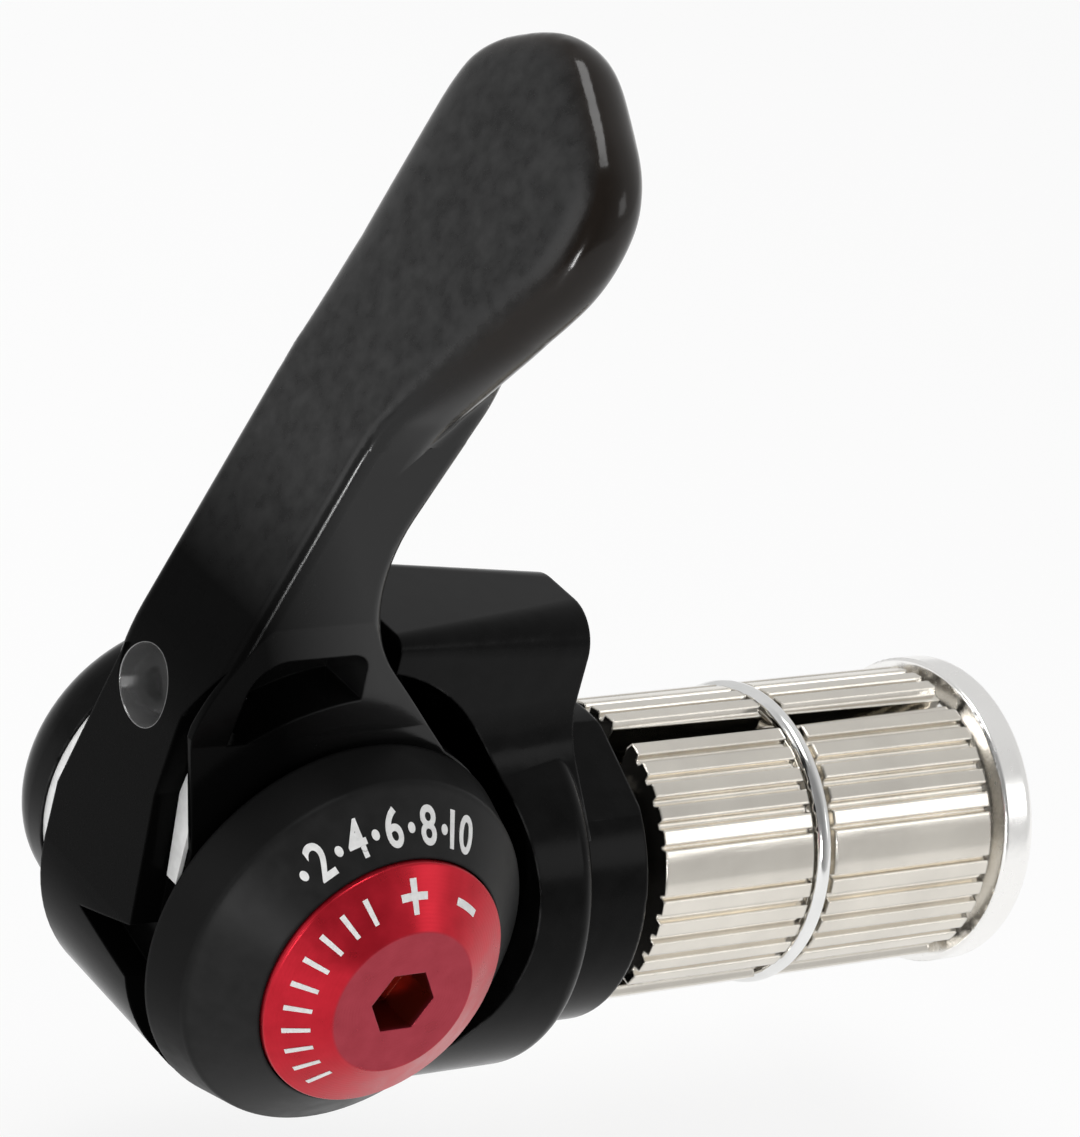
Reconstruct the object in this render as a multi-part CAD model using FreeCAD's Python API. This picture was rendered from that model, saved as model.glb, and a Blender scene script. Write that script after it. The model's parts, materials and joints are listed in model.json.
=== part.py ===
import FreeCAD
import Part
import math
import os

# Bar-end shifter, millimetres.
# Origin: centre of the collar's seat on the end of the handlebar.
# +X runs into the handlebar, +Z is up, and the lever's pivot runs along Y with its cap on the -Y side.

Vector = FreeCAD.Vector

# Pivot axis, as seen from the seat
PIVOT_X = -24.4
PIVOT_Z = 3.2

# Clearances
RUNNING_GAP = 0.05
FACE_GAP = 0.1
PRESS_GAP = 0.01

# Pod: barrel and collar about the handlebar's axis
BARREL_R = 13.2
BARREL_END_X = -5.5
BARREL_EDGE_R = 1.6
BARREL_START_X = -20.5
COLLAR_R = 11.0
COLLAR_EDGE_R = 0.3
COLLAR_FLAT_R = 10.35
COLLAR_FLAT_DEG = 116.0
BOSS_R = 10.7
BOSS_FACE_Y = 8.2
BOSS_BACK_Y = 13.3
BOSS_EDGE_R = 3.5
POCKET_GAP = 1.95
POCKET_SHIFT_X = -1.0
POCKET_SHIFT_Z = 1.5
POCKET_FLOOR_GAP = 0.7
HUB_ROOM_GAP = 0.3

# Pod: cable-stop block
BLOCK_Y = -0.6
BLOCK_START_X = -21.6
BLOCK_START_TOP_Z = 21.5
BLOCK_START_HALF = 5.7
BLOCK_START_TOP_R = 1.1
BLOCK_END_TOP_Z = 20.9
BLOCK_END_HALF = 4.25
BLOCK_END_TOP_R = 2.8
BLOCK_FOOT_R = 6.0
BLOCK_FOOT_Z = 13.0
BLOCK_SPREAD = 5.0
BLOCK_ROOT_Z = 7.5
HOUSING_R = 2.6
HOUSING_DEPTH = 8.0
CABLE_R = 1.1
CABLE_Z = 17.7

# Pivot post
POST_R = 4.5
POST_BACK_Y = 12.0
POST_FRONT_Y = -12.6
POST_FLAT = 3.4
POST_FLAT_START_Y = -4.5

# Lever: drum and strap
DRUM_R = 13.05
DRUM_FRONT_Y = -8.45
DRUM_BACK_Y = 3.9
DRUM_WALL = 2.45
REAR_HUB_INSET = 0.8
REAR_HUB_BACK_Y = 7.1
LEVER_FRONT_Y = -9.6
LEVER_FAR_Y = 1.4
STRAP_BEND_Z = 16.0
STRAP_INNER_X = -7.0
STRAP_WIDE_Z = 4.0
LEAN_DEG = 20.5
BEND_R = 14.0
CAVITY_R = DRUM_R - DRUM_WALL
CAVITY_FLOOR_Y = -3.0
BUSH_R = 6.0
GROOVE_DEPTH = 2.1
GROOVE_BACK_Y = -6.9
GROOVE_FRONT_Y = -8.0
GROOVE_BULGE_Y = -6.2
GROOVE_BULGE_Z = 9.0
GROOVE_NECK_Z = 14.9
GROOVE_TIP_Y = -8.9
GROOVE_TIP_Z = 19.0
ARM_RELIEF_LOW_Z = -9.0
ARM_LOW_Z = 6.0
ARM_TOP_Z = 14.2
PAD_T = 0.3
PAD_LOW_Z = 3.5
PAD_TOP_Z = 12.5
NOTCH_FAR_Y = -1.1
NOTCH_FAR_Z = -2.0
NOTCH_TOP_Z = 0.5
NOTCH_LOW_Z = -4.0
CABLE_GROOVE_DEPTH = 1.5
CABLE_GROOVE_WIDTH = 2.4
CABLE_GROOVE_FROM_DEG = -70.0
CABLE_GROOVE_SWEEP_DEG = 120.0
NIPPLE_Y = -2.4
NIPPLE_R = 2.6
NIPPLE_DEPTH = 4.0
NIPPLE_SEAT_R = 2.2
NIPPLE_SEAT_T = 1.0

# Lever: stem, as (x, z) from the pivot
WAIST_X = -3.8
WAIST_Z = 22.7
WAIST_R = 10.0
BRANCH_X = 8.6
BRANCH_Z = 8.9
SHOULDER_X = 4.6
SHOULDER_Z = 40.4
SHOULDER_R = 16.0
STEM_TOP_Z = 50.0
STEM_TOP_DEPTH = 3.0
LEVER_EDGE_R = 1.1
FORK_TAPER_LOW_Z = 13.5
FORK_TAPER_TOP_Z = 22.0
FORK_POCKET_FLOOR_Y = -4.6
FORK_POCKET_BOTTOM_R = 16.1
FORK_POCKET_LOW_Z = 13.4
FORK_POCKET_LOW_LEFT_X = -10.3
FORK_POCKET_LOW_RIGHT_X = -1.0
FORK_POCKET_TOP_Z = 19.55
FORK_POCKET_TOP_LEFT_X = -10.0
FORK_POCKET_TOP_LEFT_R = 2.5
FORK_POCKET_TOP_RIGHT_X = -1.9
FORK_POCKET_TOP_RIGHT_R = 1.5

# Lever: paddle, as (y, height above the pivot)
PADDLE_T = 5.6
PADDLE_START_Z = 30.0
PADDLE_FAR_Z = 55.5
PADDLE_FAR_R = 4.0
PADDLE_CREST_Y = -5.8
PADDLE_CREST_Z = 59.6
PADDLE_CREST_R = 5.0
PADDLE_TIP_Y = -15.8
PADDLE_TIP_Z = 53.7
PADDLE_TIP_R = 6.0
PADDLE_BULGE_Y = -15.8
PADDLE_BULGE_Z = 47.9
PADDLE_BULGE_R = 7.0
PADDLE_NECK_Z = 35.1
PADDLE_NECK_R = 10.0
PADDLE_BACK_R = 2.4

# Washers, plates and springs on the post, from the pod to the cap
BASE_WASHER_INSET = 0.2
INDEX_T = 1.4
INDEX_TRACK_DEPTH = 0.35
INDEX_TRACK_WIDTH = 2.6
DETENT_STEPS = 10
DETENT_INSET = 2.1
DETENT_HOLE_R = 0.55
DETENT_PITCH_DEG = 11.7
BALL_R = 1.4
BALL_COUNT = 3
CAGE_GAP = 0.2
CAGE_T = 1.6
STACK_GAP = 0.4
STACK_R = CAVITY_R - STACK_GAP
DETENT_CIRCLE_R = STACK_R - DETENT_INSET
STACK_BORE_R = 4.6
DETENT_SPRING_T = 0.4
THRUST_T = 1.2
CONE_SPRING_T = 0.5
CONE_SPRING_RISE = 0.7
CONE_SPRING_INSET = 0.8
CONE_SPRING_BORE_R = 5.0
FRICTION_T = 0.9
FRICTION_INSET = 1.2

# Cap
CAP_INSET = 0.05
CAP_TAPER = 0.8
CAP_BACK_Y = -9.3
CAP_EDGE_Y = -12.5
CAP_FRONT_Y = -15.7
CAP_EDGE_ROUND = 0.5
CAP_SKIRT_T = 1.5
CAP_SKIRT_DEPTH = 1.7
CAP_HUB_INSET = 0.6
CAP_SEAT_Y = -13.5

# Tension bolt
TENSION_HEAD_R = 8.56
TENSION_RIM_Y = -16.05
TENSION_RIM_ROUND = 0.18
TENSION_FACE_R = 5.0
TENSION_FACE_Y = -18.3
TENSION_SHANK_R = 2.5
TENSION_SHANK_END_Y = -1.5
TENSION_THREAD_ROOM = 1.0
TENSION_HEX = 4.0
TENSION_HEX_DEPTH = 3.2
TENSION_WASHER_T = 0.4
TENSION_WASHER_R = 7.0

# Expander
SEGMENT_START_X = 2.1
SEGMENT_END_X = 29.9
RIB_R = 10.05
RIB_DEPTH = 0.5
RIB_BORE_R = 5.9
RIBS_PER_SIDE = 5
RIB_PITCH_DEG = 9.2
RIB_TOP_DEG = 5.4
RIB_FOOT_DEG = 7.4
PANEL_DEG = 18.0
SEGMENT_COUNT = 3
SLOT_DEG = 98.0
SLOT_START_W = 1.9
SLOT_END_W = 0.7
RING_X = 15.4
RING_WIRE_R = 0.6
RING_R = 9.7
RING_GROOVE_W = 1.9
RING_GROOVE_R = 8.5
CONE_DEG = 30.0
CONE_BASE_R = 8.6
CONE_TIP_R = 5.6
CONE_GAP = 0.06
WEDGE_TRAVEL = 1.6
WEDGE_FACE_X = 30.8
WEDGE_END_X = 33.6
WEDGE_FLANGE_R = 10.6
WEDGE_LIP_R = 0.3
WEDGE_EDGE_R = 0.9
WEDGE_DISH_R = 6.4
WEDGE_DISH_DEPTH = 0.8

# Expander bolt
BOLT_R = 3.0
BOLT_END_X = 30.0
BOLT_HEAD_R = 5.0
BOLT_HEAD_T = 5.0
BOLT_EDGE_R = 0.3
BOLT_HEX = 5.0
BOLT_HEX_DEPTH = 3.0
BOLT_WASHER_T = 0.8
BOLT_DRUM_GAP = 0.75
BOLT_SEAT_X = PIVOT_X + DRUM_R + BOLT_DRUM_GAP + BOLT_HEAD_T + BOLT_WASHER_T
BOLT_HEAD_GAP = 0.4
BOLT_HOLE_GAP = 0.3

FULL_TURN = 360.0
QUARTER_TURN = 90.0
HEX_SIDES = 6
REACH = 60.0
TOUCH = 1e-5


def corner_arc(before, corner, after, radius):
    """Arc that rounds the corner between two straight runs, as (start, middle, end)."""
    to_before = (before - corner).normalize()
    to_after = (after - corner).normalize()
    half = to_before.getAngle(to_after) / 2.0
    run = radius / math.tan(half)
    middle_dir = (to_before + to_after).normalize()
    start = corner + to_before * run
    end = corner + to_after * run
    middle = corner + middle_dir * (radius / math.sin(half) - radius)
    return start, middle, end


def rounded_wire(corners):
    """Closed wire through (point, radius) corners, each rounded by its radius."""
    arcs = []
    count = len(corners)
    for i in range(count):
        point, radius = corners[i]
        if radius > 0.0:
            before = corners[i - 1][0]
            after = corners[(i + 1) % count][0]
            arcs.append(corner_arc(before, point, after, radius))
        else:
            arcs.append((point, None, point))
    edges = []
    for i in range(count):
        start, middle, end = arcs[i]
        if middle is not None:
            edges.append(Part.Arc(start, middle, end).toShape())
        following = arcs[(i + 1) % count][0]
        if end.distanceToPoint(following) > TOUCH:
            edges.append(Part.LineSegment(end, following).toShape())
    return Part.Wire(edges)


def revolve(corners, axis, centre=Vector(0, 0, 0), sweep=FULL_TURN):
    """Solid of revolution of a rounded outline."""
    return Part.Face(rounded_wire(corners)).revolve(centre, axis, sweep)


def turned_on_bar(profile):
    """Solid turned about the handlebar's axis from (x, r) or (x, r, rounding) corners."""
    corners = [(Vector(p[0], 0, p[1]), p[2] if len(p) > 2 else 0.0) for p in profile]
    return revolve(corners, Vector(1, 0, 0))


def turned_on_pivot(profile):
    """Solid turned about the pivot from (r, y) or (r, y, rounding) corners."""
    corners = [(Vector(PIVOT_X + p[0], p[1], PIVOT_Z), p[2] if len(p) > 2 else 0.0) for p in profile]
    return revolve(corners, Vector(0, 1, 0), Vector(PIVOT_X, 0, PIVOT_Z))


def ring_on_pivot(inner_r, outer_r, front_y, back_y):
    """Plain washer on the pivot."""
    return turned_on_pivot([(inner_r, front_y), (outer_r, front_y), (outer_r, back_y), (inner_r, back_y)])


def rod_on_pivot(radius, front_y, back_y):
    """Plain cylinder on the pivot."""
    return Part.makeCylinder(radius, back_y - front_y, Vector(PIVOT_X, front_y, PIVOT_Z), Vector(0, 1, 0))


def rod_on_bar(radius, start_x, end_x):
    """Plain cylinder on the handlebar's axis."""
    return Part.makeCylinder(radius, end_x - start_x, Vector(start_x, 0, 0), Vector(1, 0, 0))


def slab_on_pivot(corners, front_y, back_y):
    """Prism along Y from (x, z) or (x, z, rounding) corners measured from the pivot."""
    points = []
    for c in corners:
        point = Vector(PIVOT_X + c[0], front_y, PIVOT_Z + c[1])
        points.append((point, c[2] if len(c) > 2 else 0.0))
    return Part.Face(rounded_wire(points)).extrude(Vector(0, back_y - front_y, 0))


def hexagon(centre, axis, across_flats, depth):
    """Hexagonal prism for a key socket."""
    circle_r = across_flats / (2.0 * math.cos(math.pi / HEX_SIDES))
    side = Vector(0, 0, 1).cross(axis).normalize()
    up = axis.cross(side)
    points = []
    for i in range(HEX_SIDES):
        angle = math.radians(FULL_TURN * i / HEX_SIDES)
        points.append(centre + side * (circle_r * math.cos(angle)) + up * (circle_r * math.sin(angle)))
    points.append(points[0])
    return Part.Face(Part.makePolygon(points)).extrude(axis * depth)


def edges_in_plane(shape, point, normal):
    """Edges that lie wholly in one plane."""
    found = []
    for edge in shape.Edges:
        samples = [edge.valueAt(edge.FirstParameter + (edge.LastParameter - edge.FirstParameter) * t)
                   for t in (0.0, 0.5, 1.0)]
        if all(abs((s - point).dot(normal)) < TOUCH for s in samples):
            found.append(edge)
    return found


def face_x(z):
    """Where the lever's flat face stands at a height above the pivot."""
    return -DRUM_R + max(0.0, z - STRAP_BEND_Z) * math.tan(math.radians(LEAN_DEG))


def two_circle_outline(x1, z1, r1, x2, z2, r2, y):
    """Wire of the tangent outline round two circles in a plane of constant y."""
    first = Vector(x1, y, z1)
    second = Vector(x2, y, z2)
    along = second - first
    gap = along.Length
    along = along.normalize()
    across = Vector(-along.z, 0, along.x)
    cosine = (r1 - r2) / gap
    sine = math.sqrt(1.0 - cosine * cosine)
    sides = [along * cosine + across * (sine * s) for s in (1.0, -1.0)]
    edges = [
        Part.Arc(first + sides[0] * r1, first - along * r1, first + sides[1] * r1).toShape(),
        Part.LineSegment(first + sides[1] * r1, second + sides[1] * r2).toShape(),
        Part.Arc(second + sides[1] * r2, second + along * r2, second + sides[0] * r2).toShape(),
        Part.LineSegment(second + sides[0] * r2, first + sides[0] * r1).toShape(),
    ]
    return Part.Wire(edges)


def pod_body():
    """Forged pod: boss plate, barrel, collar, cable-stop block and fixed expander cone in one piece."""
    outline = two_circle_outline(
        PIVOT_X, PIVOT_Z, BOSS_R, BARREL_END_X - BARREL_R, 0.0, BARREL_R, BOSS_FACE_Y)
    plate = Part.Face(outline).extrude(Vector(0, BOSS_BACK_Y - BOSS_FACE_Y, 0))
    back_edges = edges_in_plane(plate, Vector(0, BOSS_BACK_Y, 0), Vector(0, 1, 0))
    plate = plate.makeFillet(BOSS_EDGE_R, back_edges)
    barrel = turned_on_bar([
        (BARREL_START_X, 0.0),
        (BARREL_START_X, BARREL_R),
        (BARREL_END_X, BARREL_R, BARREL_EDGE_R),
        (BARREL_END_X, COLLAR_R),
        (0.0, COLLAR_R, COLLAR_EDGE_R),
        (0.0, CONE_BASE_R),
        (cone_length(), CONE_TIP_R),
        (cone_length(), 0.0),
    ])
    body = plate.fuse(barrel).fuse(stop_block())
    pocket = Part.makeCylinder(
        DRUM_R + POCKET_GAP, REACH,
        Vector(PIVOT_X + POCKET_SHIFT_X, DRUM_BACK_Y + POCKET_FLOOR_GAP - REACH, PIVOT_Z + POCKET_SHIFT_Z),
        Vector(0, 1, 0))
    hub_room = rod_on_pivot(BOSS_R + HUB_ROOM_GAP, BOSS_FACE_Y - REACH, BOSS_FACE_Y)
    bolt_room = rod_on_bar(BOLT_HEAD_R + BOLT_HEAD_GAP, PIVOT_X, BOLT_SEAT_X)
    bolt_hole = rod_on_bar(BOLT_R + BOLT_HOLE_GAP, BOLT_SEAT_X, cone_length())
    housing = Part.makeCylinder(
        HOUSING_R, HOUSING_DEPTH, Vector(BARREL_END_X, BLOCK_Y, CABLE_Z), Vector(-1, 0, 0))
    cable = Part.makeCylinder(CABLE_R, REACH, Vector(BARREL_END_X, BLOCK_Y, CABLE_Z), Vector(-1, 0, 0))
    post_hole = rod_on_pivot(POST_R + PRESS_GAP, BOSS_FACE_Y, POST_BACK_Y)
    for tool in (pocket, hub_room, bolt_room, bolt_hole, housing, cable, post_hole, collar_flat()):
        body = body.cut(tool)
    return body.removeSplitter()


def collar_flat():
    """Cutter for the flat along the collar."""
    flat = Part.makeBox(-BARREL_END_X, REACH, REACH, Vector(BARREL_END_X, -REACH / 2.0, COLLAR_FLAT_R))
    flat.rotate(Vector(0, 0, 0), Vector(1, 0, 0), COLLAR_FLAT_DEG - QUARTER_TURN)
    return flat


def stop_block():
    """Arched block that stops the cable housing, wider at the lever."""
    wires = []
    start = (BLOCK_START_X, BLOCK_START_HALF, BLOCK_START_TOP_Z, BLOCK_START_TOP_R)
    end = (BARREL_END_X, BLOCK_END_HALF, BLOCK_END_TOP_Z, BLOCK_END_TOP_R)
    for x, half, top_z, top_r in (start, end):
        foot = half + BLOCK_SPREAD
        wires.append(rounded_wire([
            (Vector(x, BLOCK_Y - foot, BLOCK_ROOT_Z), 0.0),
            (Vector(x, BLOCK_Y - half, BLOCK_FOOT_Z), BLOCK_FOOT_R),
            (Vector(x, BLOCK_Y - half, top_z), top_r),
            (Vector(x, BLOCK_Y + half, top_z), top_r),
            (Vector(x, BLOCK_Y + half, BLOCK_FOOT_Z), BLOCK_FOOT_R),
            (Vector(x, BLOCK_Y + foot, BLOCK_ROOT_Z), 0.0),
        ]))
    return Part.makeLoft(wires, True, True)


def cone_length():
    """Length of an expander cone from its base to its tip."""
    return (CONE_BASE_R - CONE_TIP_R) / math.tan(math.radians(CONE_DEG))


def pivot_post():
    """Steel post pressed into the pod, with a flat that keys the fixed washers and the cap."""
    post = rod_on_pivot(POST_R, POST_FRONT_Y, POST_BACK_Y)
    flat = Part.makeBox(
        REACH, POST_FLAT_START_Y - POST_FRONT_Y, REACH,
        Vector(PIVOT_X - REACH / 2.0, POST_FRONT_Y, PIVOT_Z + POST_FLAT))
    thread_end_y = TENSION_SHANK_END_Y + TENSION_THREAD_ROOM
    thread = rod_on_pivot(TENSION_SHANK_R + RUNNING_GAP, POST_FRONT_Y, thread_end_y)
    return post.cut(flat).cut(thread)


def keyed_bore(front_y, back_y):
    """Room for the post and its flat."""
    bore = rod_on_pivot(STACK_BORE_R, front_y, back_y)
    flat = Part.makeBox(
        REACH, back_y - front_y, REACH,
        Vector(PIVOT_X - REACH / 2.0, front_y, PIVOT_Z + POST_FLAT + FACE_GAP))
    return bore.cut(flat)


def keyed_ring(outer_r, front_y, back_y):
    """Washer whose bore has the post's flat."""
    return rod_on_pivot(outer_r, front_y, back_y).cut(keyed_bore(front_y, back_y))


def paddle():
    """Flat plate of the lever, with the hatchet outline of its finger end."""
    lean = math.radians(LEAN_DEG)
    up = Vector(math.sin(lean), 0, math.cos(lean))
    inward = Vector(math.cos(lean), 0, -math.sin(lean))

    def on_face(y, z, radius=0.0):
        foot = Vector(PIVOT_X + face_x(STRAP_BEND_Z), y, PIVOT_Z + STRAP_BEND_Z)
        return foot + up * ((z - STRAP_BEND_Z) / math.cos(lean)), radius

    outline = rounded_wire([
        on_face(LEVER_FAR_Y, PADDLE_START_Z),
        on_face(LEVER_FAR_Y, PADDLE_FAR_Z, PADDLE_FAR_R),
        on_face(PADDLE_CREST_Y, PADDLE_CREST_Z, PADDLE_CREST_R),
        on_face(PADDLE_TIP_Y, PADDLE_TIP_Z, PADDLE_TIP_R),
        on_face(PADDLE_BULGE_Y, PADDLE_BULGE_Z, PADDLE_BULGE_R),
        on_face(LEVER_FRONT_Y, PADDLE_NECK_Z, PADDLE_NECK_R),
        on_face(LEVER_FRONT_Y, PADDLE_START_Z),
    ])
    plate = Part.Face(outline).extrude(inward * PADDLE_T)
    foot = on_face(0.0, PADDLE_START_Z)[0]
    plate = plate.makeFillet(LEVER_EDGE_R, edges_in_plane(plate, foot, inward))
    return plate.makeFillet(PADDLE_BACK_R, edges_in_plane(plate, foot + inward * PADDLE_T, inward))


def stem():
    """Strap, fork and stem of the lever as one slab with the lever's side outline."""
    slab = slab_on_pivot([
        (0.0, 0.0),
        (-DRUM_R, 0.0),
        (-DRUM_R, STRAP_BEND_Z, BEND_R),
        (face_x(STEM_TOP_Z), STEM_TOP_Z),
        (face_x(STEM_TOP_Z) + STEM_TOP_DEPTH, STEM_TOP_Z),
        (SHOULDER_X, SHOULDER_Z, SHOULDER_R),
        (WAIST_X, WAIST_Z, WAIST_R),
        (BRANCH_X, BRANCH_Z),
    ], LEVER_FRONT_Y, LEVER_FAR_Y)
    for y in (LEVER_FRONT_Y, LEVER_FAR_Y):
        slab = slab.makeFillet(LEVER_EDGE_R, edges_in_plane(slab, Vector(0, y, 0), Vector(0, 1, 0)))
    return slab.cut(fork_taper())


def slab_across(corners, start_x, end_x):
    """Prism along X from (y, z) corners, with z measured from the pivot."""
    points = [Vector(PIVOT_X + start_x, y, PIVOT_Z + z) for y, z in corners]
    return Part.Face(Part.makePolygon(points + points[:1])).extrude(Vector(end_x - start_x, 0, 0))


def fork_taper():
    """Cutter that thins the front of the fork down to the drum."""
    return slab_across([
        (LEVER_FRONT_Y, FORK_TAPER_TOP_Z), (DRUM_FRONT_Y, FORK_TAPER_LOW_Z), (DRUM_FRONT_Y, -REACH),
        (LEVER_FRONT_Y - DRUM_R, -REACH), (LEVER_FRONT_Y - DRUM_R, FORK_TAPER_TOP_Z),
    ], -REACH, REACH)


def strap_flare():
    """Strap's far side, which widens down to the width of the drum."""
    return slab_across([
        (LEVER_FAR_Y - LEVER_EDGE_R, 0.0), (DRUM_BACK_Y, 0.0), (DRUM_BACK_Y, STRAP_WIDE_Z),
        (LEVER_FAR_Y - LEVER_EDGE_R, STRAP_BEND_Z),
    ], -DRUM_R, STRAP_INNER_X)


def lever():
    """Forged lever: drum, strap, fork, stem and paddle in one piece."""
    drum = rod_on_pivot(DRUM_R, DRUM_FRONT_Y, DRUM_BACK_Y)
    rear_hub = rod_on_pivot(BOSS_R - REAR_HUB_INSET, DRUM_BACK_Y, REAR_HUB_BACK_Y)
    body = drum.fuse(rear_hub).fuse(stem()).fuse(strap_flare()).fuse(paddle())
    for tool in (lever_cavity(), strap_groove(), fork_pocket(), cable_groove(), nipple_hole()):
        body = body.cut(tool)
    return body.removeSplitter()


def lever_cavity():
    """Room in the drum for the indexing parts and the bore for the bush."""
    room = rod_on_pivot(CAVITY_R, DRUM_FRONT_Y, CAVITY_FLOOR_Y)
    return room.fuse(rod_on_pivot(BUSH_R + PRESS_GAP, CAVITY_FLOOR_Y, REAR_HUB_BACK_Y))


def strap_groove():
    """Groove that parts the fork's front arm from the strap, with the notch at the strap's lower end."""
    core_r = DRUM_R - GROOVE_DEPTH
    reach = DRUM_R + GROOVE_DEPTH
    groove = slab_across([
        (GROOVE_FRONT_Y, -reach), (GROOVE_BACK_Y, -reach), (GROOVE_BACK_Y, 0.0),
        (GROOVE_BULGE_Y, GROOVE_BULGE_Z), (GROOVE_BACK_Y, GROOVE_NECK_Z), (GROOVE_TIP_Y, GROOVE_TIP_Z),
        (GROOVE_FRONT_Y, GROOVE_NECK_Z),
    ], -reach, 0.0)
    notch = slab_across([
        (NOTCH_FAR_Y, NOTCH_FAR_Z), (GROOVE_FRONT_Y, NOTCH_TOP_Z), (GROOVE_FRONT_Y, NOTCH_LOW_Z),
    ], -reach, 0.0)
    core = slab_on_pivot([
        (0.0, 0.0), (-core_r, 0.0), (-core_r, STRAP_BEND_Z),
        (face_x(GROOVE_TIP_Z) + GROOVE_DEPTH, GROOVE_TIP_Z), (0.0, GROOVE_TIP_Z),
    ], LEVER_FRONT_Y, DRUM_BACK_Y)
    cutter = groove.fuse(notch).cut(core).fuse(arm_relief(core_r, reach))
    return cutter.cut(rod_on_pivot(core_r, LEVER_FRONT_Y, DRUM_BACK_Y))


def arm_relief(core_r, reach):
    """Room in front of the groove, up to the slanted edge of the fork's front arm."""
    room = slab_across([
        (LEVER_FRONT_Y, ARM_RELIEF_LOW_Z), (GROOVE_FRONT_Y, ARM_RELIEF_LOW_Z),
        (GROOVE_FRONT_Y, ARM_TOP_Z), (LEVER_FRONT_Y, ARM_TOP_Z),
    ], -reach, 0.0)
    arm = slab_on_pivot([
        (0.0, 0.0), (-core_r, 0.0), (-core_r, ARM_LOW_Z), (-DRUM_R, ARM_TOP_Z), (0.0, ARM_TOP_Z),
    ], LEVER_FRONT_Y, GROOVE_FRONT_Y)
    return room.cut(arm)


def groove_pad():
    """White nylon pad on the floor of the strap's groove."""
    floor_x = GROOVE_DEPTH - DRUM_R
    front_y = GROOVE_FRONT_Y + PRESS_GAP
    back_y = GROOVE_BACK_Y - PRESS_GAP
    return slab_across([
        (front_y, PAD_LOW_Z), (back_y, PAD_LOW_Z), (GROOVE_BULGE_Y - PRESS_GAP, GROOVE_BULGE_Z),
        (back_y, PAD_TOP_Z), (front_y, PAD_TOP_Z),
    ], floor_x - PAD_T, floor_x)


def fork_pocket():
    """Recess between the two arms of the fork, above the rim of the drum."""
    pocket = slab_on_pivot([
        (FORK_POCKET_LOW_LEFT_X, FORK_POCKET_LOW_Z),
        (FORK_POCKET_TOP_LEFT_X, FORK_POCKET_TOP_Z, FORK_POCKET_TOP_LEFT_R),
        (FORK_POCKET_TOP_RIGHT_X, FORK_POCKET_TOP_Z, FORK_POCKET_TOP_RIGHT_R),
        (FORK_POCKET_LOW_RIGHT_X, FORK_POCKET_LOW_Z),
    ], LEVER_FRONT_Y, FORK_POCKET_FLOOR_Y)
    return pocket.cut(rod_on_pivot(FORK_POCKET_BOTTOM_R, LEVER_FRONT_Y, FORK_POCKET_FLOOR_Y))


def cable_groove():
    """Round groove in which the cable wraps on the drum."""
    half = CABLE_GROOVE_WIDTH / 2.0
    corners = [
        (Vector(PIVOT_X + DRUM_R - CABLE_GROOVE_DEPTH, NIPPLE_Y - half, PIVOT_Z), 0.0),
        (Vector(PIVOT_X + DRUM_R + half, NIPPLE_Y - half, PIVOT_Z), 0.0),
        (Vector(PIVOT_X + DRUM_R + half, NIPPLE_Y + half, PIVOT_Z), 0.0),
        (Vector(PIVOT_X + DRUM_R - CABLE_GROOVE_DEPTH, NIPPLE_Y + half, PIVOT_Z), 0.0),
    ]
    centre = Vector(PIVOT_X, 0, PIVOT_Z)
    ring = revolve(corners, Vector(0, -1, 0), centre, CABLE_GROOVE_SWEEP_DEG)
    ring.rotate(centre, Vector(0, -1, 0), CABLE_GROOVE_FROM_DEG)
    return ring


def nipple_start():
    """Mouth of the cable's hole in the strap."""
    return Vector(PIVOT_X - DRUM_R, NIPPLE_Y, CABLE_Z)


def nipple_hole():
    """Stepped hole through the strap for the cable and its end."""
    mouth = Part.makeCylinder(NIPPLE_R, NIPPLE_DEPTH, nipple_start(), Vector(1, 0, 0))
    seat = Part.makeCylinder(NIPPLE_SEAT_R, NIPPLE_DEPTH + NIPPLE_SEAT_T, nipple_start(), Vector(1, 0, 0))
    return mouth.fuse(seat).fuse(Part.makeCylinder(CABLE_R, REACH, nipple_start(), Vector(1, 0, 0)))


def nipple_seat():
    """Disc at the bottom of the hole that takes the pull of the cable's end."""
    start = nipple_start() + Vector(NIPPLE_DEPTH, 0, 0)
    disc = Part.makeCylinder(NIPPLE_SEAT_R - PRESS_GAP, NIPPLE_SEAT_T, start, Vector(1, 0, 0))
    return disc.cut(Part.makeCylinder(CABLE_R, NIPPLE_SEAT_T, start, Vector(1, 0, 0)))


def lever_bush():
    """Bearing sleeve between lever and post."""
    return ring_on_pivot(POST_R + RUNNING_GAP, BUSH_R, CAVITY_FLOOR_Y, REAR_HUB_BACK_Y)


def index_plate():
    """Plate with a ball track and one detent hole per gear, fixed in the lever."""
    front_y = CAVITY_FLOOR_Y - INDEX_T
    plate = ring_on_pivot(BUSH_R, CAVITY_R - RUNNING_GAP, front_y, CAVITY_FLOOR_Y)
    half = INDEX_TRACK_WIDTH / 2.0
    track_back_y = front_y + INDEX_TRACK_DEPTH
    track = ring_on_pivot(DETENT_CIRCLE_R - half, DETENT_CIRCLE_R + half, front_y, track_back_y)
    plate = plate.cut(track)
    holes = []
    for ball in range(BALL_COUNT):
        for step in range(DETENT_STEPS):
            angle = FULL_TURN * ball / BALL_COUNT - DETENT_PITCH_DEG * step
            centre = on_pivot_circle(DETENT_CIRCLE_R, angle, front_y)
            holes.append(Part.makeCylinder(DETENT_HOLE_R, INDEX_T, centre, Vector(0, 1, 0)))
    return plate.cut(holes)


def on_pivot_circle(radius, angle_deg, y):
    """Point on a circle round the pivot, counted from straight up."""
    angle = math.radians(angle_deg)
    return Vector(PIVOT_X + radius * math.sin(angle), y, PIVOT_Z + radius * math.cos(angle))


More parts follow.
